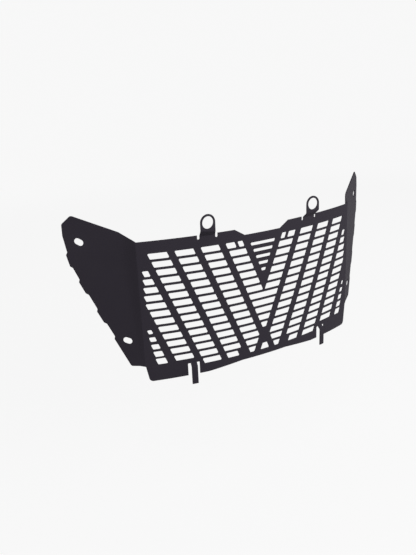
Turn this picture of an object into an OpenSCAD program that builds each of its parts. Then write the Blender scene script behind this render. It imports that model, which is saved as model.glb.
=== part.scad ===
// Radiator guard of a motorcycle, cut and folded from one sheet of metal.
// X points to the right seen from the front, Y to the back and Z up.
// The origin is midway between the two ring holes, on the rear face of their tabs.

/* [Sheet] */
// Thickness of the sheet
sheet = 1.2; // [0.8:0.1:2]
// Inner radius of the folds
fold_r = 0.9; // [0.5:0.1:1.5]

/* [Panel] */
// Radius of the panel's front face, seen from above
panel_r = 444; // [380:1:700]
// Width of the panel from fold to fold, along its curve
panel_w = 283.5; // [280:0.5:300]
// Height of the top edge above the middle of the first row of slots
panel_top = 16.3; // [14:0.1:20]
// Depth of the bottom edge below the middle of the first row
panel_drop = 139.8; // [137:0.1:150]
// Depth of the dip in the middle of the top edge
dip_depth = 7.3; // [1:0.1:8]
// Width of the dip at its floor
dip_floor_w = 46; // [20:1:60]
// Width of the dip at the top edge
dip_top_w = 70; // [62:1:90]
// Rise of the bottom edge in the middle
arch_rise = 4; // [1:0.1:5]
// Width of the level middle of the bottom edge
arch_floor_w = 60; // [20:1:80]
// Width over which the bottom edge comes back down
arch_w = 142; // [100:1:150]
// How far each side edge comes in below the wing
side_slant = 3.4; // [0.5:0.1:6]
// Radius of the two lower corners
side_corner_r = 4.5; // [1:0.1:8]

/* [Slots] */
// Height of a slot
slot_h = 6.4; // [4:0.1:7]
// Distance from one row of slots to the next
row_pitch = 9; // [8.6:0.05:9]
// Width of a slot
slot_w = 20.3; // [16:0.1:22]
// Width of the sloping bars between the ladders of slots
bar_w = 8; // [6:0.1:9]
// Angle of the sloping bars from the vertical
bar_lean = 22.7; // [22:0.1:23.5]
// Distance from the middle of the panel to the first ladder, at the first row
ladder_start = 35; // [34:0.1:37]
// Corner radius of the slots
slot_r = 1; // [0.3:0.1:1.3]
// Distance of the outermost slot end from the middle of the panel
slot_limit = 136.9; // [130:0.1:138]
// Width of the short bar that splits the first slot next to the dip
split_w = 3.4; // [2:0.1:6]
// How far that bar lies inwards from the middle of its slot
split_shift = 2.2; // [-3:0.1:5]
// How much the last slot of the third ladder is shortened
tail_cut = 6.3; // [0:0.1:10]
// Distance of the lower chevron's outer edge from the middle, drawn up to the first row
chevron_reach = 39.9; // [38:0.1:42]

/* [Middle stack] */
// Height of the small slots in the middle
stack_h = 3.4; // [2:0.1:5]
// Distance from one small slot to the next
stack_pitch = 7.65; // [6:0.05:7.7]
// Depth of the first small slot below the first row
stack_start = 2.6; // [0:0.1:4]
// Number of small slots
stack_count = 5; // [1:1:5]

/* [Ring tabs] */
// Distance between the centres of the two ring holes
ring_spacing = 136; // [130:0.5:142]
// Height of the ring holes above the middle of the first row
ring_rise = 29.8; // [27:0.1:36]
// Diameter of the ring holes
ring_hole_d = 13; // [8:0.1:14]
// Outer diameter of the rings, which is also the width of the tabs
ring_d = 17.5; // [16:0.1:19]
// Distance of the tab's root from the middle of the panel, along the curve
root_s = 66.6; // [64:0.1:69]
// Height above the first row where the tab starts to bend forwards
ring_bend_z = 14.7; // [12.5:0.1:15.5]
// Angle of the bends in the tabs
tab_bend = 45; // [35:1:55]
// Width of the relief notches beside the tabs
relief_w = 2.7; // [1.5:0.1:4]
// Depth of the relief notches below the top edge
relief_depth = 4.5; // [3:0.1:6]

/* [Bottom tabs] */
// Distance of a bottom tab from the middle of the panel, along the curve
foot_tab_s = 88.9; // [86:0.1:92]
// Width of a bottom tab
foot_tab_w = 7; // [5:0.1:8]
// Width of the opening that a bottom tab hangs in
foot_gap_w = 13.5; // [11:0.1:15]
// Depth of the top of that opening below the first row
foot_gap_z = 125.6; // [124:0.1:130]
// How far a bottom tab steps forwards
foot_step = 2.9; // [1.5:0.1:6]
// Depth of the lower end of a bottom tab below the first row
foot_tab_drop = 150; // [142:0.5:165]

/* [Wings] */
// Angle of the wings from the X axis, seen from above
wing_turn = 35.3; // [30:0.1:40]
// Angle by which the wings lean back
wing_lean = 2.24; // [1:0.01:3]
// How far the wing's plane lies behind the panel's edge, at the first row
wing_step = 5.7; // [5.2:0.1:8]
// Direction in which the step leaves the panel's edge at the top
step_turn = 66; // [55:1:75]
// Distance from the panel's edge to the end of the step, at the top
step_top_w = 14.9; // [12:0.1:18]
// Distance from the panel's edge to the end of the step, at the foot
step_foot_w = 3; // [2.5:0.1:5]
// Height of the wing's top edge where the step ends
wing_top = 25.9; // [22:0.1:30]
// Distance of the wing's tip from the panel's edge
tip_w = 63; // [50:0.1:66]
// Height of the wing's tip
tip_v = 43.9; // [40:0.1:50]
// Distance of the wing's outer edge from the panel's edge
wing_w = 73.2; // [70:0.1:80]
// Height of the shoulder below the tip
shoulder_v = 35.2; // [30:0.1:37]
// Radius of the tip and the shoulder
tip_r = 3.5; // [1:0.1:5]
// How far the lugs stand out of the outer edge
lug_out = 2.3; // [1:0.1:3]
// Length of a lug along the edge
lug_len = 12; // [9:0.1:14]
// Depth of the left foot below the first row
left_foot = 120.8; // [117:0.1:122]
// Rise of the left foot towards its outer end
left_foot_rise = 0.1; // [0:0.1:2]
// Depth of the right foot below the first row
right_foot = 111.8; // [108:0.1:118]
// Rise of the right foot towards its outer end
right_foot_rise = 2.8; // [0:0.1:4]
// Radius of the outer corner of a foot
foot_r = 3; // [1:0.1:4]
// Width of the slots in the wings
wing_slot_w = 6.6; // [5:0.1:8]
// Length of the slots in the wings
wing_slot_l = 9.8; // [9:0.1:14]
// Distance of the upper slot from the panel's edge
upper_slot_w = 56.7; // [50:0.1:62]
// Height of the upper slot above the first row
upper_slot_v = 16.5; // [8:0.1:24]
// Tilt of the upper slot
upper_slot_turn = 29; // [0:1:45]
// Distance of the lower slot from the panel's edge
lower_slot_w = 14; // [12:0.1:18]
// Depth of the lower slot below the first row
lower_slot_v = 91.4; // [80:0.1:98]
// Tilt of the lower slot
lower_slot_turn = 20; // [0:1:45]

/* [Hidden] */

// Steps of each corner arc in an outline, of the small arcs in the slots and of each fold
arc_steps = 4;
slot_steps = 2;
fold_arc_steps = 3;
// Facets of a full turn, for the panel's wide radius and for small circles
panel_fn = 720;
hole_fn = 64;
// Steps up a wing's step and across its curved part
step_rows = 12;
step_cols = 6;
// A fold starts and ends inside the plates that it joins, a hair thinner than they are,
// and keeps that thickness for a short lip outside them
tuck = 1;
hair = 0.03;
lip = 0.12;
pinch = 0.3;
// How far a cutter runs past the edge that it cuts
over = 4;
// Length of a cutter through the sheet, and of one that spans the curve of the middle
cut_l = 6 * sheet;
wide_cut_l = 30;

// Level of the first row, and the mid-surface of the sheet at the panel's edge
row0 = -ring_rise;
axis_y = panel_r - sheet;
mid_r = panel_r - sheet / 2;
mid_fold_r = fold_r + sheet / 2;
edge_turn = turn(panel_w / 2);
edge_x = mid_r * sin(edge_turn);
edge_y = axis_y - mid_r * cos(edge_turn);

// Slot pattern: slope of the bars, pitch of the ladders and the rows in them
lean = tan(bar_lean);
ladder_pitch = slot_w + bar_w;
last_row = 14;
merged_rows = [7:11];
chevron_rows = [13:14];
side_rows = [2:13];
chevron_inner = chevron_reach + bar_w;
// Extra height of the slot at the foot of the chevron
foot_slot_extra = 1.2;

// Short slots beside the lower corners, from the first to the last of them: height, drop of
// the middle below the row, and how far the outer and the inner end come in
end_rows = [9:13];
end_h = [4.7, 7.1];
end_drop = [1.5, 0.6];
end_outer_cut = [0.2, 7.4];
end_inner_cut = [0.2, 1.7];
end_bow = 1.2;
// Radius of the notches beside the ring tabs, as a share of their width
notch_round = 0.45;

// Outer edge of a wing below its shoulder: height above the first row, distance in from wing_w
wing_edge = [
    [-125, 65.5], [-86.5, 45.7], [-55.7, 29.5], [-23.3, 13.4], [-10.5, 7.5], [5.9, 3.3], [23.3, 0]
];
// Heights where the lugs start
lug_tops = [5.9, -23.3, -55.7, -86.5];
lug_ramp = 3;
lug_end = 1.8;
lug_r = 0.8;
// How far the panel's edge reaches below the foot of the wing
fold_dip = 1;
// Length of the handles of the step's reverse curve, as a share of its span
curve_pull = 0.35;

// Turn about the panel's axis for a distance along its curve
function turn(s) = s / panel_r * 180 / PI;
function unit(v) = v / norm(v);
function mix(a, b, k) = a * (1 - k) + b * k;
function between(ends, k) = mix(ends[0], ends[1], k);
function flat(p) = [p[0], p[1]];
function reversed(list) = [for (i = [len(list) - 1:-1:0]) list[i]];

// Arc of radius r in the corner b between a and c
function corner(a, b, c, r, steps) = r < 0.01 ? [b] :
    let (
        u = unit(a - b),
        v = unit(c - b),
        half = acos(u * v) / 2,
        centre = b + unit(u + v) * r / sin(half),
        from = b + u * r / tan(half) - centre,
        to = b + v * r / tan(half) - centre
    )
    [for (k = [0:steps]) centre + r * unit(mix(from, to, k / steps))];

// Outline with rounded corners; each point is [x, y, radius]
function rounded(p, steps = arc_steps) = let (n = len(p)) [
    for (i = [0:n - 1])
    each corner(flat(p[(i + n - 1) % n]), flat(p[i]), flat(p[(i + 1) % n]), p[i][2], steps)
];

// Solid between a front and a rear grid of points with the same rows and columns
module skin(front, rear) {
    rows = len(front);
    cols = len(front[0]);
    function f(i, j) = i * cols + j;
    function r(i, j) = rows * cols + f(i, j);
    cells = [for (i = [0:rows - 2]) for (j = [0:cols - 2]) [i, j]];
    polyhedron(
        points = [for (grid = [front, rear]) for (row = grid) each row],
        faces = [
            for (c = cells) let (i = c[0], j = c[1]) each [
                [f(i, j), f(i + 1, j), f(i + 1, j + 1)],
                [f(i, j), f(i + 1, j + 1), f(i, j + 1)],
                [r(i, j), r(i + 1, j + 1), r(i + 1, j)],
                [r(i, j), r(i, j + 1), r(i + 1, j + 1)]
            ],
            for (j = [0:cols - 2]) let (e = rows - 1) each [
                [f(0, j), f(0, j + 1), r(0, j + 1)],
                [f(0, j), r(0, j + 1), r(0, j)],
                [f(e, j), r(e, j + 1), f(e, j + 1)],
                [f(e, j), r(e, j), r(e, j + 1)]
            ],
            for (i = [0:rows - 2]) let (e = cols - 1) each [
                [f(i, 0), r(i, 0), r(i + 1, 0)],
                [f(i, 0), r(i + 1, 0), f(i + 1, 0)],
                [f(i, e), r(i + 1, e), r(i, e)],
                [f(i, e), f(i + 1, e), r(i + 1, e)]
            ]
        ]
    );
}

// Puts a child at the distance s along the panel's front face, turned square to it
module around(s) {
    translate([0, axis_y, row0]) rotate([0, 0, turn(s)]) translate([0, -panel_r, 0])
        children();
}

// Cutter through the panel with its outline in the panel's own plane
module cutter(s, outline, depth = cut_l) {
    around(s) rotate([90, 0, 0]) linear_extrude(depth, center = true)
        polygon([for (p = outline) [p[0] - s, p[1]]]);
}

// One slot between two heights and two edges; an edge is [place at the first row, slope]
module slot(top, bottom, left, right) {
    function at(edge, z) = edge[0] + edge[1] * z;
    z = (top + bottom) / 2;
    cutter((at(left, z) + at(right, z)) / 2, rounded([
        [at(left, bottom), bottom, slot_r],
        [at(right, bottom), bottom, slot_r],
        [at(right, top), top, slot_r],
        [at(left, top), top, slot_r]
    ], slot_steps));
}

module row_slot(row, left, right) {
    slot(slot_h / 2 - row * row_pitch, -slot_h / 2 - row * row_pitch, left, right);
}

// Edges of the ladder of slots with the number i, counted from the middle of the panel
function ladder_x(i) = -ladder_start - i * ladder_pitch;
function outer(i) = [ladder_x(i) - slot_w / 2, -lean];
function inner(i) = [ladder_x(i) + slot_w / 2, -lean];
function mirrored(edge) = -edge;
// Outer edge of a slot that is cut short at the limit of the pattern
function limited(i, row) = [max(outer(i)[0], -slot_limit - lean * row * row_pitch), -lean];

// Slots of the left half of the panel
module half_slots() {
    chevron = [chevron_reach, lean];
    split = ladder_x(0) + split_shift;
    row_slot(0, outer(0), [split - split_w / 2, -lean]);
    row_slot(0, [split + split_w / 2, -lean], inner(0));
    for (row = [1:merged_rows[0] - 1]) row_slot(row, outer(0), inner(0));
    for (row = [0:chevron_rows[0] - 1]) row_slot(row, outer(1), inner(1));
    for (row = chevron_rows) row_slot(row, outer(1), chevron);
    for (row = [0:last_row - 1]) row_slot(row, outer(2), inner(2));
    row_slot(last_row, outer(2), inner(2) - [tail_cut, 0]);
    for (row = [0:last_row]) row_slot(row, outer(3), inner(3));
    for (row = side_rows) row_slot(row, limited(4, row), inner(4));
    for (row = end_rows) end_slot(row);
}

// Short slots of the outermost ladder, which grow towards the bottom
module end_slot(row) {
    k = (row - end_rows[0]) / (end_rows[2] - end_rows[0]);
    z = -row * row_pitch - between(end_drop, k);
    h = between(end_h, k);
    outer_end = -slot_limit + between(end_outer_cut, pow(k, end_bow)) + lean * z;
    slot(z + h / 2, z - h / 2, [outer_end, -lean], inner(5) - [between(end_inner_cut, k), 0]);
}

// Slots on the middle line: the joined rows, the small stack and the foot of the chevron
module middle_slots() {
    stack_edge = [inner(0)[0] + bar_w, -lean];
    for (row = merged_rows) row_slot(row, outer(0), mirrored(outer(0)));
    for (k = [0:stack_count - 1]) {
        z = -stack_start - k * stack_pitch;
        slot(z + stack_h / 2, z - stack_h / 2, stack_edge, mirrored(stack_edge));
    }
    foot_edge = [chevron_inner, lean];
    z = -last_row * row_pitch;
    slot(z + slot_h / 2 + foot_slot_extra, z - slot_h / 2, foot_edge, mirrored(foot_edge));
}

// Everything that is cut from the left half of the panel's edges
module edge_cuts(foot) {
    side = panel_w / 2;
    // Side below the wing, with the lower corner
    heel = [-side, -foot - fold_dip];
    toe = [-side + side_slant, -panel_drop];
    beyond = heel + (heel - toe) * over / (panel_drop - foot);
    bend = corner(heel, toe, toe + [over, 0], side_corner_r, arc_steps);
    cutter(-side, [
        [-side - over, beyond[1]],
        beyond,
        each bend,
        [bend[arc_steps][0], -panel_drop - over],
        [-side - over, -panel_drop - over]
    ]);
    // Relief notches beside the ring tab, and the edge that the tab rises from
    for (dir = [-1, 1]) {
        notch = -root_s + dir * (ring_d + relief_w) / 2;
        cutter(notch, rounded([
            [notch - relief_w / 2, panel_top + over, 0],
            [notch - relief_w / 2, panel_top - relief_depth, relief_w * notch_round],
            [notch + relief_w / 2, panel_top - relief_depth, relief_w * notch_round],
            [notch + relief_w / 2, panel_top + over, 0]
        ]));
    }
    reach = (ring_d + relief_w) / 2;
    cutter(-root_s, [
        [-root_s - reach, panel_top + over],
        [-root_s - reach, ring_bend_z - lip],
        [-root_s + reach, ring_bend_z - lip],
        [-root_s + reach, panel_top + over]
    ]);
    // Opening that the bottom tab hangs in
    cutter(-foot_tab_s, rounded([
        [-foot_tab_s - foot_gap_w / 2, -panel_drop - over, 0],
        [-foot_tab_s + foot_gap_w / 2, -panel_drop - over, 0],
        [-foot_tab_s + foot_gap_w / 2, -foot_gap_z, slot_r],
        [-foot_tab_s - foot_gap_w / 2, -foot_gap_z, slot_r]
    ]));
}

// Four-sided dent in a level edge, with its sloping ends drawn on past the edge
function dent(edge, depth, floor_w, open_w) = let (
        past = sign(depth) * over,
        wide = open_w / 2 + (open_w - floor_w) / 2 * past / depth
    ) [
        [-wide, edge + past],
        [-floor_w / 2, edge - depth],
        [floor_w / 2, edge - depth],
        [wide, edge + past]
    ];

// Dip in the top edge and rise of the bottom edge
module middle_cuts() {
    cutter(0, dent(panel_top, dip_depth, dip_floor_w, dip_top_w), wide_cut_l);
    cutter(0, dent(-panel_drop, -arch_rise, arch_floor_w, arch_w), wide_cut_l);
}

// The curved sheet of the grille, before its slots are cut
module panel() {
    difference() {
        translate([0, axis_y, row0 - panel_drop]) rotate([0, 0, -90 - edge_turn])
            rotate_extrude(angle = 2 * edge_turn, $fn = panel_fn)
            translate([panel_r - sheet, 0]) square([sheet, panel_drop + panel_top]);
        edge_cuts(left_foot);
        mirror([1, 0, 0]) edge_cuts(right_foot);
        middle_cuts();
    }
}

// Path of a double bend over a forward travel: [travel, height, slope] from point to point
function step_height(travel) =
    2 * mid_fold_r * sin(tab_bend)
    + (travel - 2 * mid_fold_r * (1 - cos(tab_bend))) / tan(tab_bend);
function step_path(travel) = let (r = mid_fold_r, h = step_height(travel)) [
    for (k = [0:fold_arc_steps]) let (a = tab_bend * k / fold_arc_steps)
        [r * (1 - cos(a)), r * sin(a), a],
    for (k = [fold_arc_steps:-1:0]) let (a = tab_bend * k / fold_arc_steps)
        [travel - r * (1 - cos(a)), h - r * sin(a), a]
];

// Left ring tab: a flat ring in front of the panel, and the double bend up to it
function root_point(q) = let (a = turn(-root_s + q * ring_d / 2))
    [mid_r * sin(a), axis_y - mid_r * cos(a)];
function neck_point(q) = [-ring_spacing / 2 + q * ring_d / 2, -sheet / 2];
function neck_z(q) = row0 + ring_bend_z + step_height(norm(neck_point(q) - root_point(q)));

function ring_step_row(q, side) = let (
        start = root_point(q),
        travel = norm(neck_point(q) - start),
        way = unit(neck_point(q) - start),
        square_on = unit(start - [0, axis_y]),
        path = step_path(travel),
        last = len(path) - 1,
        ends = [[0, -tuck, 0], each path, [travel, path[last][1] + tuck, 0]]
    ) [
        for (k = [0:len(ends) - 1]) let (
            p = ends[k],
            thin = (k < 2 || k > last) ? hair : 0,
            out = unit(mix(square_on, [0, -1], p[0] / travel)),
            off = side * (sheet / 2 - thin),
            at = start + way * p[0] + out * off * cos(p[2])
        ) [at[0], at[1], row0 + ring_bend_z + p[1] - off * sin(p[2])]
    ];

module ring_tab() {
    edge = 1 - 2 * hair / ring_d;
    rows = [edge, 0.5, 0, -0.5, -edge];
    skin([for (q = rows) ring_step_row(q, 1)], [for (q = rows) ring_step_row(q, -1)]);
    rotate([90, 0, 0]) linear_extrude(sheet) translate([-ring_spacing / 2, 0]) difference() {
        union() {
            circle(d = ring_d, $fn = hole_fn);
            polygon([
                [-ring_d / 2, neck_z(-1) + lip],
                [ring_d / 2, neck_z(1) + lip],
                [ring_d / 2, 0],
                [-ring_d / 2, 0]
            ]);
        }
        circle(d = ring_hole_d, $fn = hole_fn);
    }
}

// Left bottom tab: a strip that steps forwards and hangs below the panel
module foot_tab() {
    path = step_path(foot_step);
    last = len(path) - 1;
    ends = [
        [0, -tuck, 0, hair],
        [0, 0, 0, hair],
        for (k = [1:last]) [each path[k], 0],
        [foot_step, foot_tab_drop - foot_gap_z - lip, 0, 0]
    ];
    function at(p, side) = let (off = side * (sheet / 2 - p[3]))
        [sheet / 2 - p[0] - off * cos(p[2]), -foot_gap_z - lip - p[1] + off * sin(p[2])];
    outline = [for (p = ends) at(p, 1), for (p = reversed(ends)) at(p, -1)];
    around(-foot_tab_s) rotate([90, 0, 90]) linear_extrude(foot_tab_w, center = true)
        polygon(outline);
}

// Frame of the right wing's plane, with the panel's edge at the first row as its origin
wing_y = edge_y + wing_step;
wing_across = [cos(wing_turn), sin(wing_turn), 0];
wing_up = [-sin(wing_turn) * sin(wing_lean), cos(wing_turn) * sin(wing_lean), cos(wing_lean)];
function on_wing(w, v) = [edge_x, wing_y, row0] + w * wing_across + v * wing_up;

function wing_edge_w(v) = wing_w - lookup(v, wing_edge);

function lug(v) = let (end = v - lug_ramp - lug_len) [
    [wing_edge_w(v), v, lug_r],
    [wing_edge_w(v - lug_ramp) + lug_out, v - lug_ramp, lug_r],
    [wing_edge_w(end) + lug_out, end, lug_r],
    [wing_edge_w(end - lug_end), end - lug_end, lug_r]
];

// Flat part of the right wing, outside the step
module wing_plate(foot, foot_rise) {
    last = lug_tops[3];
    foot_z = foot_rise - foot;
    difference() {
        polygon(rounded([
            [step_foot_w, -foot, 0],
            [wing_edge_w(foot_z) + lug_out, foot_z, foot_r],
            [wing_edge_w(last - lug_ramp) + lug_out, last - lug_ramp, lug_r],
            [wing_edge_w(last), last, lug_r],
            for (i = [2:-1:0]) each reversed(lug(lug_tops[i])),
            [wing_w, wing_edge[6][0], lug_r],
            [wing_w, shoulder_v, tip_r],
            [tip_w, tip_v, tip_r],
            [step_top_w, wing_top, 0]
        ]));
        translate([upper_slot_w, upper_slot_v]) rotate(upper_slot_turn) wing_slot();
        translate([lower_slot_w, -lower_slot_v]) rotate(lower_slot_turn) wing_slot();
    }
}

module wing_slot() {
    reach = (wing_slot_l - wing_slot_w) / 2;
    square([2 * reach, wing_slot_w], center = true);
    for (dir = [-1, 1]) translate([dir * reach, 0]) circle(d = wing_slot_w, $fn = hole_fn);
}

// Step between the panel's edge and the wing: a crisp fold, then a reverse curve that
// twists and fades out towards the foot
function curve(p, k) =
    pow(1 - k, 3) * p[0] + 3 * pow(1 - k, 2) * k * p[1] + 3 * (1 - k) * k * k * p[2] + pow(k, 3) * p[3];
function slope(p, k) =
    pow(1 - k, 2) * (p[1] - p[0]) + 2 * (1 - k) * k * (p[2] - p[1]) + k * k * (p[3] - p[2]);
function heading(d) = [cos(d), sin(d)];
function aside(d) = [-sin(d), cos(d)];

// Stations of the mid-surface at the share h of the height: [x, y, heading, share, thinning]
function step_row(foot, h) = let (
        start = [edge_x, edge_y] + lip * heading(edge_turn),
        end3 = mix(on_wing(step_foot_w - lip, -foot), on_wing(step_top_w - lip, wing_top), h),
        end = flat(end3),
        out_turn = mix(wing_turn, step_turn, h),
        hub = start + mid_fold_r * aside(edge_turn),
        bent = hub - mid_fold_r * aside(out_turn),
        reach = norm(end - bent) * curve_pull,
        p = [bent, bent + reach * heading(out_turn), end - reach * heading(wing_turn), end]
    ) [
        [each (start - (tuck + lip) * heading(edge_turn)), edge_turn, 0, hair],
        [each start, edge_turn, 0, hair],
        for (k = [1:fold_arc_steps]) let (a = mix(edge_turn, out_turn, k / fold_arc_steps))
            [each (hub - mid_fold_r * aside(a)), a, 0, 0],
        for (k = [1:step_cols]) let (d = slope(p, k / step_cols))
            [each curve(p, k / step_cols), atan2(d[1], d[0]), k / step_cols, k == step_cols ? hair : 0],
        [each (end + (tuck + lip) * heading(wing_turn)), wing_turn, 1, hair]
    ];

function step_surface(foot, h, side) = let (
        bottom = row0 - foot - fold_dip,
        low = mix(bottom, row0 + panel_top, h),
        end = mix(on_wing(step_foot_w, -foot), on_wing(step_top_w, wing_top), h),
        row = step_row(foot, h),
        last = len(row) - 1
    ) [
        for (j = [0:last]) let (
            s = row[j],
            inset = (j == 0 || j == last) ? pinch : s[4],
            rise = (end[2] - low) * max(0, s[0] - edge_x) / (end[0] - edge_x),
            n = unit([each aside(s[2]), -s[3] * sin(wing_lean)]),
            off = side * (sheet / 2 - s[4])
        ) [s[0], s[1], low + rise + inset * (1 - 2 * h)] - n * off
    ];

module wing_step_skin(foot) {
    shares = [for (i = [0:step_rows]) i / step_rows];
    skin(
        [for (h = shares) step_surface(foot, h, 1)],
        [for (h = shares) step_surface(foot, h, -1)]
    );
}

// Right wing with its step
module wing(foot, foot_rise) {
    wing_step_skin(foot);
    translate([edge_x, wing_y, row0]) rotate([90 - wing_lean, 0, wing_turn])
        linear_extrude(sheet, center = true) wing_plate(foot, foot_rise);
}

module radiator_guard() {
    color([0.19, 0.18, 0.2]) difference() {
        union() {
            panel();
            ring_tab();
            mirror([1, 0, 0]) ring_tab();
            foot_tab();
            mirror([1, 0, 0]) foot_tab();
            wing(right_foot, right_foot_rise);
            mirror([1, 0, 0]) wing(left_foot, left_foot_rise);
        }
        half_slots();
        mirror([1, 0, 0]) half_slots();
        middle_slots();
    }
}

radiator_guard();
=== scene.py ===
"""Looks of the radiator guard: one folded sheet with a satin black coat, in a pale studio."""

import math

import bpy
import numpy as np
from mathutils import Euler, Matrix, Vector


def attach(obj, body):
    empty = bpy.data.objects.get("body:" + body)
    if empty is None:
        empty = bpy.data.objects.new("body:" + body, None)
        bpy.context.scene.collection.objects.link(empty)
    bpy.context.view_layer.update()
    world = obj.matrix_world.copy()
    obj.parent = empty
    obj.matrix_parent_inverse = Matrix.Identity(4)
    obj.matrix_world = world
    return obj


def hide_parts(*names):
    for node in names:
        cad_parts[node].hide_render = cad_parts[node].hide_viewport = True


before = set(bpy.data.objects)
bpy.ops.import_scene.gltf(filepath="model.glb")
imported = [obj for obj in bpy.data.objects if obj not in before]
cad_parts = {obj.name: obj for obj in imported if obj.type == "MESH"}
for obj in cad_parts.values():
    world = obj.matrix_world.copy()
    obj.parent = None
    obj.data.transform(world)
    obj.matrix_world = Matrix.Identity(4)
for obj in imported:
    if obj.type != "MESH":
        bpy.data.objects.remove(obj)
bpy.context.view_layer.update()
MM = 0.001

# Camera, found from the photograph: place, direction, roll and field of view
CAMERA_PLACE = (-0.37689, -0.54520, 0.15199)
CAMERA_AZIMUTH = math.radians(29.36)
CAMERA_PITCH = math.radians(-18.63)
CAMERA_ROLL = math.radians(-2.62)
CAMERA_LENS = 40.89
CAMERA_SENSOR = 36.0

# Sizes of the sheet in millimetres. Distances along the sheet are measured from its middle, and
# heights from the middle of the first row of slots, on the flat pattern before it is folded.
SHEET = 1.2
FOLD_R = 0.9
EDGE_ROUND = 0.26
ROUND_SEGMENTS = 2
ROUND_FROM = math.radians(60)

# Panel: radius of its front face, its edges and the lower corners
PANEL_R = 444
PANEL_W = 283.5
PANEL_TOP = 16.3
PANEL_DROP = 139.8
DIP_DEPTH = 7.3
DIP_FLOOR_W = 46
DIP_TOP_W = 70
ARCH_RISE = 4
ARCH_FLOOR_W = 60
ARCH_W = 142
SIDE_SLANT = 3.4
SIDE_CORNER_R = 4.5

# Slots in ladders between sloping bars, numbered from the middle outwards
SLOT_H = 6.4
ROW_PITCH = 9
SLOT_W = 20.3
BAR_W = 8
LEAN = math.tan(math.radians(22.7))
LADDER_START = 35
SLOT_R = 1
SLOT_LIMIT = 136.9
SPLIT_W = 3.4
SPLIT_SHIFT = 2.2
TAIL_CUT = 6.3
CHEVRON_REACH = 39.9
FOOT_SLOT_EXTRA = 1.2
LAST_ROW = 14
MERGED_ROWS = range(7, 12)
CHEVRON_ROWS = range(13, 15)
SIDE_ROWS = range(2, 14)

# Short slots beside the lower corners: values of the first and of the last of them, and how
# much the line of their outer ends is bowed
END_ROWS = range(9, 14)
END_H = (4.7, 7.1)
END_DROP = (1.5, 0.6)
END_OUTER_CUT = (0.2, 7.4)
END_INNER_CUT = (0.2, 1.7)
END_BOW = 1.2

# Small slots in the middle
STACK_H = 3.4
STACK_PITCH = 7.65
STACK_START = 2.6
STACK_COUNT = 5

# Ring tabs on the top edge, with the notches beside them
RING_SPACING = 136
RING_RISE = 29.8
RING_HOLE_D = 13
RING_D = 17.5
ROOT_S = 66.6
RING_BEND_V = 14.7
TAB_BEND = math.radians(45)
RELIEF_W = 2.7
RELIEF_DEPTH = 4.5
NOTCH_ROUND = 0.45

# Bottom tabs and the openings that they hang in
FOOT_TAB_S = 88.9
FOOT_TAB_W = 7
FOOT_GAP_W = 13.5
FOOT_GAP_V = -125.6
FOOT_STEP = 2.9
FOOT_TAB_DROP = 150

# Wings: their plane, and the step that leads to it. The step starts with a crisp fold over
# FOLD_SHARE of its width, and the curve that follows has handles of CURVE_PULL of its reach.
WING_TURN = math.radians(35.3)
WING_LEAN = math.radians(2.24)
WING_STEP = 5.7
STEP_TURN = math.radians(66)
STEP_TOP_W = 14.9
STEP_FOOT_W = 3
FOLD_DIP = 1
FOLD_SHARE = 0.3
CURVE_PULL = 0.35

# Outline of the wings: the tip, the edge between the lugs as heights and insets from WING_W, the
# lugs, and for each foot its distance below the first row and the rise of its outer corner
WING_TOP = 25.9
TIP_W = 63
TIP_V = 43.9
WING_W = 73.2
SHOULDER_V = 35.2
TIP_R = 3.5
WING_EDGE = (
    (-125, 65.5),
    (-86.5, 45.7),
    (-55.7, 29.5),
    (-23.3, 13.4),
    (-10.5, 7.5),
    (5.9, 3.3),
    (23.3, 0),
)
LUG_TOPS = (5.9, -23.3, -55.7, -86.5)
LUG_OUT = 2.3
LUG_LEN = 12
LUG_RAMP = 3
LUG_END = 1.8
LUG_R = 0.8
LEFT_FOOT = (120.8, 0.1)
RIGHT_FOOT = (111.8, 2.8)
FOOT_R = 3

# Mounting slots of the wings: distance from the panel, height and tilt
WING_SLOT_W = 6.6
WING_SLOT_L = 9.8
WING_SLOTS = (
    (56.7, 16.5, math.radians(29)),
    (14, -91.4, math.radians(20)),
)

# How finely corners, circles, the panel's curve, the folds and the wings' steps are divided
CORNER_TURN = math.radians(17)
CORNER_CHORD = 0.2
CIRCLE_STEPS = 64
HALF_STRIPS = 35
FOLD_STEPS = 4
STEP_COLUMNS = 7
STEP_ROWS = 28
PLACE_ROUNDS = 12

# A dividing line goes through a point that is nearer to it than SNAP. The lines on the panel
# move by up to STRIP_SHIFT, to the best of STRIP_TRIES places. Faces that lie within FLAT_TURN
# of one plane are joined between the lines, and SLACK is the room for a point on a border.
SNAP = 0.08
STRIP_SHIFT = 1.2
STRIP_TRIES = 49
FLAT_TURN = math.radians(0.1)
SLACK = 0.01

# The folded sheet: height of the first row, the mid-surface of the panel and where it ends
ROW0 = -RING_RISE
MID_R = PANEL_R - SHEET / 2
AXIS_Y = PANEL_R - SHEET
MID_FOLD_R = FOLD_R + SHEET / 2
SIDE = PANEL_W / 2
EDGE_TURN = SIDE / PANEL_R
EDGE = np.array([MID_R * math.sin(EDGE_TURN), AXIS_Y - MID_R * math.cos(EDGE_TURN)])
WING_ACROSS = np.array([math.cos(WING_TURN), math.sin(WING_TURN), 0])
WING_UP = np.array(
    [
        -math.sin(WING_TURN) * math.sin(WING_LEAN),
        math.cos(WING_TURN) * math.sin(WING_LEAN),
        math.cos(WING_LEAN),
    ]
)

# Colours and gloss of the coat
COAT_DARK = (0.0195, 0.0167, 0.0228)
COAT_PALE = (0.0260, 0.0227, 0.0300)
COAT_TINT = (0.93, 0.87, 1.0)
COAT_ROUGH = 0.64
COAT_SHINE = 0.12

# Texture of the coat: scale, detail and roughness of each noise, how much two of them vary the
# gloss, and the strength and height of the bumps
CLOUD = (26.0, 3.0, 0.5)
PEEL = (900.0, 2.0, 0.5)
GRAIN = (3200.0, 1.0, 0.6)
CLOUD_ROUGH = 0.08
GRAIN_ROUGH = 0.06
GRAIN_BUMP = 0.35
BUMP_STRENGTH = 0.3
BUMP_HEIGHT = 0.00004

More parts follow.
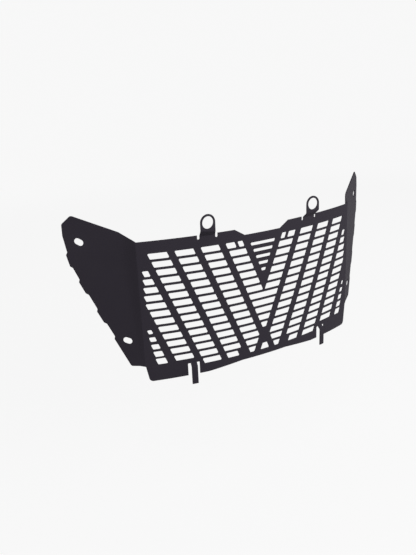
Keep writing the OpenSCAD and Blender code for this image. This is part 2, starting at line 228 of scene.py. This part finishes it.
# Tone of the background, and the soft light on the sheet: its levels overhead and at the
# horizon, how it changes towards DIM_SIDE and where that ends, and a shade round SHADE_SIDE
PALE = 0.935
SOFT_UP = 0.5
SOFT_LOW = 0.66
SOFT_SIDE = -0.45
SOFT_LEAST = 0.5
DIM_SIDE = (0.6, 0.8, 0)
SHADE = 0.3
SHADE_SIDE = (-0.72, -0.69, 0)
SHADE_POWER = 6
UPWARDS = (0, 0, 1)

# Floor: its matt tone where it throws light back and where it is seen, the share of its shading
# that is seen, a lift that evens its seen tone, and the circle outside which it fades
FLOOR_Z = -0.3
FLOOR_SIZE = 12
FLOOR_TONE = 0.22
FLOOR_SEEN = 0.95
FLOOR_SHOWN = 0.12
FLOOR_LIFT = 0.028
FADE_CENTRE = (0.4, 0.2, FLOOR_Z)
FADE_FROM = 1.2
FADE_OVER = 0.7

# Lamps: name, place and power. All have one size and point at one spot on the sheet.
LAMPS = (
    ("key", (-0.2, -1.7, 0.7), 8),
    ("fill", (1.1, -1.2, 0.4), 15),
)
LAMP_SIZE = 0.9
LAMP_AIM = (0, 0, -0.07)


class Value:
    """A socket of a shader tree that can be used in Python expressions."""

    def __init__(self, tree, socket):
        self.tree = tree
        self.socket = socket

    def math(self, operation, other, swapped=False):
        """A maths node of this value and another, in the other order if they are swapped."""
        values = [self, other]
        if swapped:
            values.reverse()
        return self.tree.node("ShaderNodeMath", {"operation": operation}, *values)

    def __add__(self, other):
        return self.math("ADD", other)

    def __radd__(self, other):
        return self.math("ADD", other, True)

    def __sub__(self, other):
        return self.math("SUBTRACT", other)

    def __rsub__(self, other):
        return self.math("SUBTRACT", other, True)

    def __mul__(self, other):
        return self.math("MULTIPLY", other)

    def __rmul__(self, other):
        return self.math("MULTIPLY", other, True)


class Tree:
    """Builds the nodes of one material or of the world."""

    def __init__(self, owner):
        owner.use_nodes = True
        self.tree = owner.node_tree
        self.tree.nodes.clear()

    def node(self, kind, settings=None, *inputs, out=0, **named):
        """Makes a node and returns its output. An input of None keeps its default."""
        made = self.tree.nodes.new(kind)
        for name, value in (settings or {}).items():
            setattr(made, name, value)
        pairs = list(enumerate(inputs))
        pairs += [(name.replace("_", " "), value) for name, value in named.items()]
        for key, value in pairs:
            if isinstance(value, Value):
                self.tree.links.new(value.socket, made.inputs[key])
            elif value is not None:
                made.inputs[key].default_value = value
        return Value(self, made.outputs[out]) if made.outputs else None

    def noise(self, place, scale, detail, roughness):
        """A noise texture at a place."""
        return self.node(
            "ShaderNodeTexNoise",
            None,
            Vector=place,
            Scale=scale,
            Detail=detail,
            Roughness=roughness,
        )

    def vector(self, operation, *vectors):
        """A vector maths node that gives a number."""
        return self.node("ShaderNodeVectorMath", {"operation": operation}, *vectors, out="Value")

    def background_rays(self):
        """1 for rays from the camera, off gloss and through glass, and 0 for all others."""
        rays = self.node("ShaderNodeLightPath").socket.node.outputs
        names = ("Is Camera Ray", "Is Glossy Ray", "Is Transmission Ray")
        direct, glossy, through = [Value(self, rays[name]) for name in names]
        return direct.math("MAXIMUM", glossy).math("MAXIMUM", through)


def select_only(piece):
    """Makes a piece the only selected one, and the active one."""
    bpy.ops.object.select_all(action="DESELECT")
    piece.select_set(True)
    bpy.context.view_layer.objects.active = piece


def camera():
    """The camera, where the photograph was taken from."""
    data = bpy.data.cameras.new("camera")
    data.lens = CAMERA_LENS
    data.sensor_width = CAMERA_SENSOR
    piece = bpy.data.objects.new("camera", data)
    bpy.context.collection.objects.link(piece)
    turn = Euler((math.pi / 2 + CAMERA_PITCH, 0, -CAMERA_AZIMUTH)).to_matrix()
    roll = Matrix.Rotation(CAMERA_ROLL, 3, "Z")
    piece.matrix_world = Matrix.Translation(CAMERA_PLACE) @ (turn @ roll).to_4x4()
    bpy.context.scene.camera = piece


def powder_coat():
    """Satin black powder coat: a fine orange-peel skin and a faint mottling of tone and gloss."""
    material = bpy.data.materials.new("powder_coat")
    t = Tree(material)
    place = t.node("ShaderNodeTexCoord", out="Object")
    cloud = t.noise(place, *CLOUD)
    peel = t.noise(place, *PEEL)
    grain = t.noise(place, *GRAIN)
    # the colours are the Mix node's inputs 6 and 7, after five that are for other kinds of data
    colours = [None] * 5 + [(*COAT_DARK, 1), (*COAT_PALE, 1)]
    tone = t.node("ShaderNodeMix", {"data_type": "RGBA"}, cloud, *colours, out=2)
    rough = COAT_ROUGH + CLOUD_ROUGH * (cloud - 0.5) + GRAIN_ROUGH * (grain - 0.5)
    height = peel + GRAIN_BUMP * grain
    bump = t.node(
        "ShaderNodeBump", None, Strength=BUMP_STRENGTH, Distance=BUMP_HEIGHT, Height=height
    )
    shader = t.node(
        "ShaderNodeBsdfPrincipled",
        None,
        Base_Color=tone,
        Roughness=rough,
        Normal=bump,
        Specular_Tint=(*COAT_TINT, 1),
        Specular_IOR_Level=COAT_SHINE,
    )
    t.node("ShaderNodeOutputMaterial", None, shader)
    return material


def unit(v):
    return v / np.linalg.norm(v)


def mix(a, b, share):
    return a + (b - a) * share


def corner(before, at, after, radius):
    """Points of the arc that rounds one corner of an outline."""
    if not radius:
        return [at]
    u, v = unit(before - at), unit(after - at)
    half = math.acos(u @ v) / 2
    turn = math.pi - 2 * half
    steps = max(1, min(round(turn / CORNER_TURN), int(turn * radius / CORNER_CHORD)))
    centre = at + unit(u + v) * radius / math.sin(half)
    start = at + u * radius / math.tan(half) - centre
    end = at + v * radius / math.tan(half) - centre
    return [centre + radius * unit(mix(start, end, k / steps)) for k in range(steps + 1)]


def rounded(rows):
    """An outline with rounded corners, from rows of distance, height and radius."""
    rows = np.array(rows, float)
    flat = rows[:, :2]
    following = np.roll(flat, -1, axis=0)
    arcs = [corner(flat[i - 1], flat[i], following[i], rows[i, 2]) for i in range(len(rows))]
    return [point for arc in arcs for point in arc]


def arc_points(centre, radius, start, sweep, steps):
    """Points of an arc, its first and its last one included."""
    turns = [start + sweep * k / steps for k in range(steps + 1)]
    return [(centre[0] + radius * math.cos(a), centre[1] + radius * math.sin(a)) for a in turns]


def mirrored(outline):
    """An outline on the other side of the middle line, in the same sense of rotation."""
    return [(-point[0], *point[1:]) for point in reversed(outline)]


def slot(top, bottom, left, right):
    """One slot between two heights and two edges, each a place at the first row and a slope."""
    corners = ((bottom, left), (bottom, right), (top, right), (top, left))
    return rounded([(place + slope * v, v, SLOT_R) for v, (place, slope) in corners])


def row_slot(row, left, right):
    """A slot of the common height in a row."""
    middle = -row * ROW_PITCH
    return slot(middle + SLOT_H / 2, middle - SLOT_H / 2, left, right)


def ladder_edge(ladder, side):
    """Left (-1) or right (1) edge of a ladder of slots on the left half of the panel."""
    return (-LADDER_START - ladder * (SLOT_W + BAR_W) + side * SLOT_W / 2, -LEAN)


def shifted(edge, distance):
    """An edge moved to the right."""
    return (edge[0] + distance, edge[1])


def opposite(edge):
    """An edge on the other side of the middle line."""
    return (-edge[0], -edge[1])


def ladder_slots(ladder, rows):
    """The whole slots of a ladder in some rows."""
    return [row_slot(row, ladder_edge(ladder, -1), ladder_edge(ladder, 1)) for row in rows]


def half_slots():
    """Outlines of the slots in the left half of the panel."""
    split = -LADDER_START + SPLIT_SHIFT
    slots = [
        row_slot(0, ladder_edge(0, -1), (split - SPLIT_W / 2, -LEAN)),
        row_slot(0, (split + SPLIT_W / 2, -LEAN), ladder_edge(0, 1)),
    ]
    slots += ladder_slots(0, range(1, MERGED_ROWS.start))
    slots += ladder_slots(1, range(CHEVRON_ROWS.start))
    slots += [row_slot(row, ladder_edge(1, -1), (CHEVRON_REACH, LEAN)) for row in CHEVRON_ROWS]
    slots += ladder_slots(2, range(LAST_ROW))
    slots.append(row_slot(LAST_ROW, ladder_edge(2, -1), shifted(ladder_edge(2, 1), -TAIL_CUT)))
    slots += ladder_slots(3, range(LAST_ROW + 1))
    for row in SIDE_ROWS:
        outer = max(ladder_edge(4, -1)[0], -SLOT_LIMIT - LEAN * row * ROW_PITCH)
        slots.append(row_slot(row, (outer, -LEAN), ladder_edge(4, 1)))
    return slots + [end_slot(row) for row in END_ROWS]


def end_slot(row):
    """One of the short slots of the outermost ladder, which grow towards the bottom."""
    share = (row - END_ROWS.start) / (len(END_ROWS) - 1)
    middle = -row * ROW_PITCH - mix(*END_DROP, share)
    height = mix(*END_H, share)
    outer = -SLOT_LIMIT + mix(*END_OUTER_CUT, share**END_BOW) + LEAN * middle
    inner = shifted(ladder_edge(5, 1), -mix(*END_INNER_CUT, share))
    return slot(middle + height / 2, middle - height / 2, (outer, -LEAN), inner)


def middle_slots():
    """Slots across the middle line: the joined rows, the stack and the foot of the chevron."""
    outer = ladder_edge(0, -1)
    slots = [row_slot(row, outer, opposite(outer)) for row in MERGED_ROWS]
    stack = shifted(ladder_edge(0, 1), BAR_W)
    for count in range(STACK_COUNT):
        middle = -STACK_START - count * STACK_PITCH
        slots.append(slot(middle + STACK_H / 2, middle - STACK_H / 2, stack, opposite(stack)))
    foot = (CHEVRON_REACH + BAR_W, LEAN)
    middle = -LAST_ROW * ROW_PITCH
    top = middle + SLOT_H / 2 + FOOT_SLOT_EXTRA
    slots.append(slot(top, middle - SLOT_H / 2, foot, opposite(foot)))
    return slots


def wing_edge(v):
    """Distance from the panel to a wing's edge between the lugs, at a height."""
    heights, insets = zip(*WING_EDGE)
    return WING_W - np.interp(v, heights, insets)


def lug(v):
    """Corners of one lug of a wing's edge, from its top down."""
    end = v - LUG_RAMP - LUG_LEN
    return [
        (wing_edge(v), v, LUG_R),
        (wing_edge(v - LUG_RAMP) + LUG_OUT, v - LUG_RAMP, LUG_R),
        (wing_edge(end) + LUG_OUT, end, LUG_R),
        (wing_edge(end - LUG_END), end - LUG_END, LUG_R),
    ]


def wing_outline(foot, foot_rise):
    """Edge of a wing from its step down to the foot: distance from the panel, height, radius."""
    foot_v = foot_rise - foot
    rows = [
        (STEP_TOP_W, WING_TOP, 0),
        (TIP_W, TIP_V, TIP_R),
        (WING_W, SHOULDER_V, TIP_R),
        (WING_W, WING_EDGE[-1][0], LUG_R),
    ]
    for v in LUG_TOPS[:-1]:
        rows += lug(v)
    rows += lug(LUG_TOPS[-1])[:2]
    return rows + [(wing_edge(foot_v) + LUG_OUT, foot_v, FOOT_R), (STEP_FOOT_W, -foot, 0)]


def half_outline(foot, foot_rise):
    """Edge of one half of the flat sheet, from the top middle round the wing to the bottom."""
    tab_in, tab_out = ROOT_S - RING_D / 2, ROOT_S + RING_D / 2
    notch_v, notch_r = PANEL_TOP - RELIEF_DEPTH, RELIEF_W * NOTCH_ROUND
    gap_in, gap_out = FOOT_TAB_S - FOOT_GAP_W / 2, FOOT_TAB_S + FOOT_GAP_W / 2
    strip_in, strip_out = FOOT_TAB_S - FOOT_TAB_W / 2, FOOT_TAB_S + FOOT_TAB_W / 2
    ring = arc_points((ROOT_S, RING_RISE), RING_D / 2, math.pi, -math.pi, CIRCLE_STEPS // 2)
    return [
        (DIP_FLOOR_W / 2, PANEL_TOP - DIP_DEPTH, 0),
        (DIP_TOP_W / 2, PANEL_TOP, 0),
        (tab_in - RELIEF_W, PANEL_TOP, 0),
        (tab_in - RELIEF_W, notch_v, notch_r),
        (tab_in, notch_v, notch_r),
        *[(*point, 0) for point in ring],
        (tab_out, notch_v, notch_r),
        (tab_out + RELIEF_W, notch_v, notch_r),
        (tab_out + RELIEF_W, PANEL_TOP, 0),
        (SIDE, PANEL_TOP, 0),
        *[(SIDE + w, v, radius) for w, v, radius in wing_outline(foot, foot_rise)],
        (SIDE, -foot - FOLD_DIP, 0),
        (SIDE - SIDE_SLANT, -PANEL_DROP, SIDE_CORNER_R),
        (gap_out, -PANEL_DROP, 0),
        (gap_out, FOOT_GAP_V, SLOT_R),
        (strip_out, FOOT_GAP_V, 0),
        (strip_out, -FOOT_TAB_DROP, 0),
        (strip_in, -FOOT_TAB_DROP, 0),
        (strip_in, FOOT_GAP_V, 0),
        (gap_in, FOOT_GAP_V, SLOT_R),
        (gap_in, -PANEL_DROP, 0),
        (ARCH_W / 2, -PANEL_DROP, 0),
        (ARCH_FLOOR_W / 2, -PANEL_DROP + ARCH_RISE, 0),
    ]


def half_circle(end, start):
    """Points of the round end of a mounting slot."""
    return arc_points(end, WING_SLOT_W / 2, start, math.pi, CIRCLE_STEPS // 2)


def side_holes():
    """The ring hole and the two mounting slots of one half."""
    holes = [arc_points((ROOT_S, RING_RISE), RING_HOLE_D / 2, 0, 2 * math.pi, CIRCLE_STEPS)[:-1]]
    reach = (WING_SLOT_L - WING_SLOT_W) / 2
    for w, v, tilt in WING_SLOTS:
        along = np.array([math.cos(tilt), math.sin(tilt)]) * reach
        centre = np.array([SIDE + w, v])
        upper_end = half_circle(centre + along, tilt - math.pi / 2)
        lower_end = half_circle(centre - along, tilt + math.pi / 2)
        holes.append(upper_end + lower_end)
    return holes


def flat_pattern():
    """The sheet as it is cut, flat, with every slot and hole, one unit for each millimetre."""
    left = mirrored(half_outline(*LEFT_FOOT))
    outlines = [rounded(half_outline(*RIGHT_FOOT) + left)]
    for outline in half_slots() + side_holes():
        outlines += [outline, mirrored(outline)]
    outlines += middle_slots()
    curve = bpy.data.curves.new("guard_sheet", "CURVE")
    curve.dimensions = "2D"
    curve.fill_mode = "BOTH"
    for outline in outlines:
        spline = curve.splines.new("POLY")
        spline.points.add(len(outline) - 1)
        spline.points.foreach_set("co", [value for u, v in outline for value in (u, v, 0, 1)])
        spline.use_cyclic_u = True
    piece = bpy.data.objects.new("guard_sheet", curve)
    bpy.context.collection.objects.link(piece)
    select_only(piece)
    bpy.ops.object.convert(target="MESH")
    piece.data.name = "guard_sheet"
    bpy.ops.object.mode_set(mode="EDIT")
    bpy.ops.mesh.select_all(action="SELECT")
    bpy.ops.mesh.beautify_fill(angle_limit=math.pi)
    bpy.ops.object.mode_set(mode="OBJECT")
    return piece


def cut_lines(piece, lines, inside):
    """Divides the faces that have their centre inside, along lines through two points each."""
    chosen = [inside(*face.center[:2]) for face in piece.data.polygons]
    piece.data.polygons.foreach_set("hide", [not yes for yes in chosen])
    bpy.ops.object.mode_set(mode="EDIT")
    for a, b in lines:
        bpy.ops.mesh.select_all(action="SELECT")
        across = unit(np.array([b[1] - a[1], a[0] - b[0], 0]))
        bpy.ops.mesh.bisect(plane_co=(*a, 0), plane_no=tuple(across), threshold=SNAP)
        bpy.ops.mesh.mark_seam()
    bpy.ops.mesh.reveal()
    bpy.ops.object.mode_set(mode="OBJECT")


def upright(u):
    """A line up the panel, as two points."""
    return ((u, -PANEL_DROP), (u, PANEL_TOP))


def level(v):
    """A line across the panel, as two points."""
    return ((-SIDE, v), (SIDE, v))


def strip_lines():
    """Distances from the middle where the panel is divided, clear of the slots' ends."""
    outlines = half_slots() + middle_slots()
    spans = [np.abs(np.array(outline)[:, 0]) for outline in outlines]
    tabs = (
        (ROOT_S, RING_HOLE_D),
        (ROOT_S, RING_D),
        (ROOT_S, RING_D + 2 * RELIEF_W),
        (FOOT_TAB_S, FOOT_GAP_W),
        (FOOT_TAB_S, FOOT_TAB_W),
    )
    ends = [end for span in spans for end in (span.min(), span.max())]
    ends += [middle + side * width / 2 for middle, width in tabs for side in (-1, 1)]
    ends = np.array(ends)
    lines = [SIDE]
    for k in range(1, HALF_STRIPS):
        places = SIDE * k / HALF_STRIPS + np.linspace(-STRIP_SHIFT, STRIP_SHIFT, STRIP_TRIES)
        lines.append(max(places, key=lambda place: np.abs(ends - place).min()))
    return lines


def step_ends(share, foot):
    """Where a row of a wing's step starts and ends, as distance from the panel and height."""
    start = (0, mix(-foot - FOLD_DIP, PANEL_TOP, share))
    end = (mix(STEP_FOOT_W, STEP_TOP_W, share), mix(-foot, WING_TOP, share))
    return start, end


def step_place(w, v, foot):
    """Shares of the step's height and width at which a point of the flat pattern lies."""
    (_, low_start), (_, low_end) = step_ends(0, foot)
    (_, high_start), (_, high_end) = step_ends(1, foot)
    share = 0.5
    for _ in range(PLACE_ROUNDS):
        column = w / step_ends(share, foot)[1][0]
        low, high = mix(low_start, low_end, column), mix(high_start, high_end, column)
        share = (v - low) / (high - low)
    return share, w / step_ends(share, foot)[1][0]


def bend_heights():
    """Heights above the start of a tab's bend at which it is divided."""
    return [MID_FOLD_R * math.sin(TAB_BEND * k / FOLD_STEPS) for k in range(FOLD_STEPS + 1)]


def cut_wing_step(piece, side, foot):
    """Divides the step between the panel and one wing into columns and rows."""
    def placed(point):
        return (side * (SIDE + point[0]), point[1])

    def on_wing_side(u, v):
        return side * u > SIDE

    def in_step(u, v):
        _, column = step_place(side * u - SIDE, v, foot)
        return on_wing_side(u, v) and column < 1

    columns = [FOLD_SHARE * k / FOLD_STEPS for k in range(1, FOLD_STEPS + 1)]
    columns += [mix(FOLD_SHARE, 1, k / STEP_COLUMNS) for k in range(1, STEP_COLUMNS + 1)]
    (_, low_start), (low_w, low_end) = step_ends(0, foot)
    (_, high_start), (high_w, high_end) = step_ends(1, foot)
    lines = []
    for column in columns:
        low = (column * low_w, mix(low_start, low_end, column))
        high = (column * high_w, mix(high_start, high_end, column))
        lines.append([placed(low), placed(high)])
    cut_lines(piece, lines, on_wing_side)
    rows = [[placed(end) for end in step_ends(k / STEP_ROWS, foot)] for k in range(1, STEP_ROWS)]
    cut_lines(piece, rows, in_step)


def cut_ring_tab(piece, side):
    """Divides one ring tab at its two bends. The upper one slopes, because the panel is curved."""
    def in_ring_tab(u, v):
        return abs(side * u - ROOT_S) < RING_D / 2 and v > RING_BEND_V

    ends = [
        (side * (ROOT_S + q * RING_D / 2), RING_BEND_V + tab_height(ring_travel(q)))
        for q in (-1, 1)
    ]
    lower = [level(RING_BEND_V + h) for h in bend_heights()]
    upper = [[(u, v - h) for u, v in ends] for h in bend_heights()]
    cut_lines(piece, lower + upper, in_ring_tab)


def cut_foot_tabs(piece):
    """Divides the bottom tabs at their two bends."""
    def in_foot_tab(u, v):
        return abs(abs(u) - FOOT_TAB_S) < FOOT_TAB_W / 2 and v < FOOT_GAP_V

    end = FOOT_GAP_V - tab_height(FOOT_STEP)
    levels = [FOOT_GAP_V - h for h in bend_heights()] + [end + h for h in bend_heights()]
    cut_lines(piece, [level(v) for v in levels], in_foot_tab)


def divide_for_folds(piece):
    """Cuts the flat pattern along all the lines that the folds and the panel's curve need."""
    def at_ring_root(u, v):
        return abs(abs(u) - ROOT_S) < RING_D / 2 + RELIEF_W

    def at_foot_root(u, v):
        return abs(abs(u) - FOOT_TAB_S) < FOOT_GAP_W / 2

    strips = strip_lines()
    cut_lines(piece, [upright(u) for u in strips + [-u for u in strips]], lambda u, v: True)
    cut_lines(piece, [level(RING_BEND_V)], at_ring_root)
    cut_lines(piece, [level(FOOT_GAP_V)], at_foot_root)
    for side, (foot, _) in ((-1, LEFT_FOOT), (1, RIGHT_FOOT)):
        cut_wing_step(piece, side, foot)
        cut_ring_tab(piece, side)
    cut_foot_tabs(piece)
    bpy.ops.object.mode_set(mode="EDIT")
    bpy.ops.mesh.select_all(action="SELECT")
    bpy.ops.mesh.dissolve_limited(angle_limit=FLAT_TURN, delimit={"SEAM"})
    bpy.ops.mesh.mark_seam(clear=True)
    bpy.ops.object.mode_set(mode="OBJECT")


def tab_height(travel):
    """Height that a double bend takes to move a tab over its travel."""
    straight = travel - 2 * MID_FOLD_R * (1 - math.cos(TAB_BEND))
    return 2 * MID_FOLD_R * math.sin(TAB_BEND) + straight / math.tan(TAB_BEND)


def tab_travel(h, travel):
    """How far a double bend has moved its tab at a height above the first bend."""
    total = tab_height(travel)
    bend = MID_FOLD_R * math.sin(TAB_BEND)
    if h <= 0:
        return 0
    if h >= total:
        return travel
    if h < bend:
        return MID_FOLD_R - math.sqrt(MID_FOLD_R**2 - h**2)
    if h > total - bend:
        return travel - MID_FOLD_R + math.sqrt(MID_FOLD_R**2 - (total - h) ** 2)
    return MID_FOLD_R * (1 - math.cos(TAB_BEND)) + (h - bend) * math.tan(TAB_BEND)


def panel_point(s, radius=MID_R):
    """Point of the rolled panel in plan, at a distance along the sheet."""
    turn = s / PANEL_R
    return np.array([radius * math.sin(turn), AXIS_Y - radius * math.cos(turn)])


def neck_point(q):
    """Point of a ring's flat plane in plan, at a share q of the ring's half width."""
    return np.array([RING_SPACING / 2 + q * RING_D / 2, -SHEET / 2])


def ring_travel(q):
    """Distance from the root of a ring tab to its ring's plane, at a share q of its half width."""
    return np.linalg.norm(neck_point(q) - panel_point(ROOT_S + q * RING_D / 2))


def heading(turn):
    """Direction along the sheet in plan, where it has turned back by an angle."""
    return np.array([math.cos(turn), math.sin(turn)])


def aside(turn):
    """Direction across the sheet in plan, towards its back."""
    return np.array([-math.sin(turn), math.cos(turn)])


def wing_point(w, v):
    """Point of a wing's plane."""
    origin = np.array([EDGE[0], EDGE[1] + WING_STEP, ROW0])
    return origin + w * WING_ACROSS + v * WING_UP


def step_point(share, column, foot):
    """Point of a wing's step: a crisp fold, then a reverse curve that ends in the wing's plane."""
    (_, low), (end_w, end_v) = step_ends(share, foot)
    end = wing_point(end_w, end_v)
    out_turn = mix(WING_TURN, STEP_TURN, share)
    hub = EDGE + MID_FOLD_R * aside(EDGE_TURN)
    if column <= FOLD_SHARE:
        place = hub - MID_FOLD_R * aside(mix(EDGE_TURN, out_turn, column / FOLD_SHARE))
    else:
        k = (column - FOLD_SHARE) / (1 - FOLD_SHARE)
        bent = hub - MID_FOLD_R * aside(out_turn)
        reach = np.linalg.norm(end[:2] - bent) * CURVE_PULL
        leaving, arriving = bent + reach * heading(out_turn), end[:2] - reach * heading(WING_TURN)
        handles = (bent, leaving, arriving, end[:2])
        weights = ((1 - k) ** 3, 3 * (1 - k) ** 2 * k, 3 * (1 - k) * k**2, k**3)
        place = sum(weight * handle for weight, handle in zip(weights, handles))
    rise = (place[0] - EDGE[0]) / (end[0] - EDGE[0])
    return np.array([*place, mix(ROW0 + low, end[2], rise)])


def folded(u, v):
    """Where a point of the flat pattern lies on the mid-surface of the folded sheet."""
    side = -1 if u < 0 else 1
    foot, _ = LEFT_FOOT if u < 0 else RIGHT_FOOT
    s = abs(u)
    if s > SIDE + SLACK:
        share, column = step_place(s - SIDE, v, foot)
        place = step_point(share, column, foot) if column < 1 else wing_point(s - SIDE, v)
    elif v > RING_BEND_V and abs(s - ROOT_S) < RING_D / 2 + SLACK:
        q = (s - ROOT_S) * 2 / RING_D
        travel = ring_travel(q)
        gone = tab_travel(v - RING_BEND_V, travel) / travel
        place = np.array([*mix(panel_point(s), neck_point(q), gone), ROW0 + v])
    elif v < FOOT_GAP_V and abs(s - FOOT_TAB_S) < FOOT_TAB_W / 2 + SLACK:
        forwards = tab_travel(FOOT_GAP_V - v, FOOT_STEP)
        place = np.array([*panel_point(s, MID_R + forwards), ROW0 + v])
    else:
        place = np.array([*panel_point(s), ROW0 + v])
    return place * (side, 1, 1)


def guard():
    """The sheet: cut flat, folded, given its thickness and its cut edges rounded over."""
    piece = flat_pattern()
    divide_for_folds(piece)
    places = [folded(*vertex.co[:2]) * MM for vertex in piece.data.vertices]
    piece.data.vertices.foreach_set("co", np.ravel(places))
    piece.data.update()
    bpy.ops.object.mode_set(mode="EDIT")
    bpy.ops.mesh.select_all(action="SELECT")
    bpy.ops.mesh.normals_make_consistent(inside=False)
    bpy.ops.object.mode_set(mode="OBJECT")
    bpy.ops.object.shade_smooth()

    thickness = piece.modifiers.new("thickness", "SOLIDIFY")
    thickness.thickness = SHEET * MM
    thickness.offset = 0
    thickness.use_even_offset = True
    rounds = piece.modifiers.new("rounded_edges", "BEVEL")
    rounds.width = EDGE_ROUND * MM
    rounds.segments = ROUND_SEGMENTS
    rounds.limit_method = "ANGLE"
    rounds.angle_limit = ROUND_FROM
    rounds.use_clamp_overlap = False
    rounds.loop_slide = False
    shading = piece.modifiers.new("broad_faces", "WEIGHTED_NORMAL")
    for modifier in (thickness, rounds, shading):
        bpy.ops.object.modifier_apply(modifier=modifier.name)
    piece.data.materials.clear()
    piece.data.materials.append(powder_coat())
    return piece


def soft_level(t, direction):
    """Level of the soft light from a direction: dimmer at the right and back, with a shade."""
    side = t.vector("DOT_PRODUCT", direction, DIM_SIDE)
    shade = t.vector("DOT_PRODUCT", direction, SHADE_SIDE)
    broad = (SOFT_LOW + SOFT_SIDE * side).math("MAXIMUM", SOFT_LEAST)
    return broad - SHADE * shade.math("MAXIMUM", 0).math("POWER", SHADE_POWER)


def surround():
    """The world: a pale background, and a softer level for the rays that light the sheet."""
    world = bpy.context.scene.world or bpy.data.worlds.new("studio")
    bpy.context.scene.world = world
    t = Tree(world)
    direction = t.node("ShaderNodeTexCoord", out="Generated")
    height = t.vector("DOT_PRODUCT", direction, UPWARDS)
    strength = soft_level(t, direction) + (SOFT_UP - SOFT_LOW) * height
    soft = t.node("ShaderNodeBackground", None, Color=(1, 1, 1, 1), Strength=strength)
    pale = t.node("ShaderNodeBackground", None, Color=(PALE, PALE, PALE, 1), Strength=1.0)
    both = t.node("ShaderNodeMixShader", None, t.background_rays(), soft, pale)
    t.node("ShaderNodeOutputWorld", None, both)


def pale_floor():
    """Matt near the sheet, where it keeps a faint shadow, and as the surround further out."""
    material = bpy.data.materials.new("pale_floor")
    t = Tree(material)
    background_ray = t.background_rays()
    place = t.node("ShaderNodeTexCoord", out="Object")
    fade = t.node(
        "ShaderNodeMapRange",
        {"interpolation_type": "SMOOTHSTEP"},
        t.vector("DISTANCE", place, FADE_CENTRE),
        From_Min=FADE_FROM,
        From_Max=FADE_FROM + FADE_OVER,
    )
    tone = FLOOR_TONE + (FLOOR_SEEN - FLOOR_TONE) * background_ray
    matt = t.node("ShaderNodeBsdfDiffuse", None, Color=tone)
    outwards = t.node("ShaderNodeVectorMath", {"operation": "NORMALIZE"}, place)
    soft = soft_level(t, outwards)
    seen = PALE + FLOOR_LIFT * (1 - fade)
    shown = soft + (seen - soft) * background_ray
    flat = t.node("ShaderNodeEmission", None, Color=shown, Strength=1.0)
    flat_share = fade + (1 - fade) * background_ray * (1 - FLOOR_SHOWN)
    both = t.node("ShaderNodeMixShader", None, flat_share, matt, flat)
    t.node("ShaderNodeOutputMaterial", None, both)
    return material


def lamp(name, place, power):
    """A square soft lamp that points at the sheet and isn't seen itself."""
    data = bpy.data.lights.new(name, "AREA")
    data.size = LAMP_SIZE
    data.energy = power
    piece = bpy.data.objects.new(name, data)
    bpy.context.collection.objects.link(piece)
    aim = Vector(LAMP_AIM) - Vector(place)
    piece.rotation_euler = aim.to_track_quat("-Z", "Y").to_euler()
    piece.location = place
    piece.visible_camera = False


def studio():
    """Pale floor that fades into a pale surround, and soft light."""
    surround()
    bpy.ops.object.select_all(action="DESELECT")
    bpy.ops.mesh.primitive_plane_add(size=FLOOR_SIZE, location=(0, 0, FLOOR_Z))
    floor = bpy.context.object
    floor.name = "floor"
    bpy.ops.object.transform_apply(location=True, rotation=True, scale=True)
    floor.data.materials.append(pale_floor())
    for name, place, power in LAMPS:
        lamp(name, place, power)


scene = bpy.context.scene
scene.view_settings.view_transform = "Standard"
camera()
sheet = guard()
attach(sheet, "root")
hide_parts("radiator_guard")
studio()
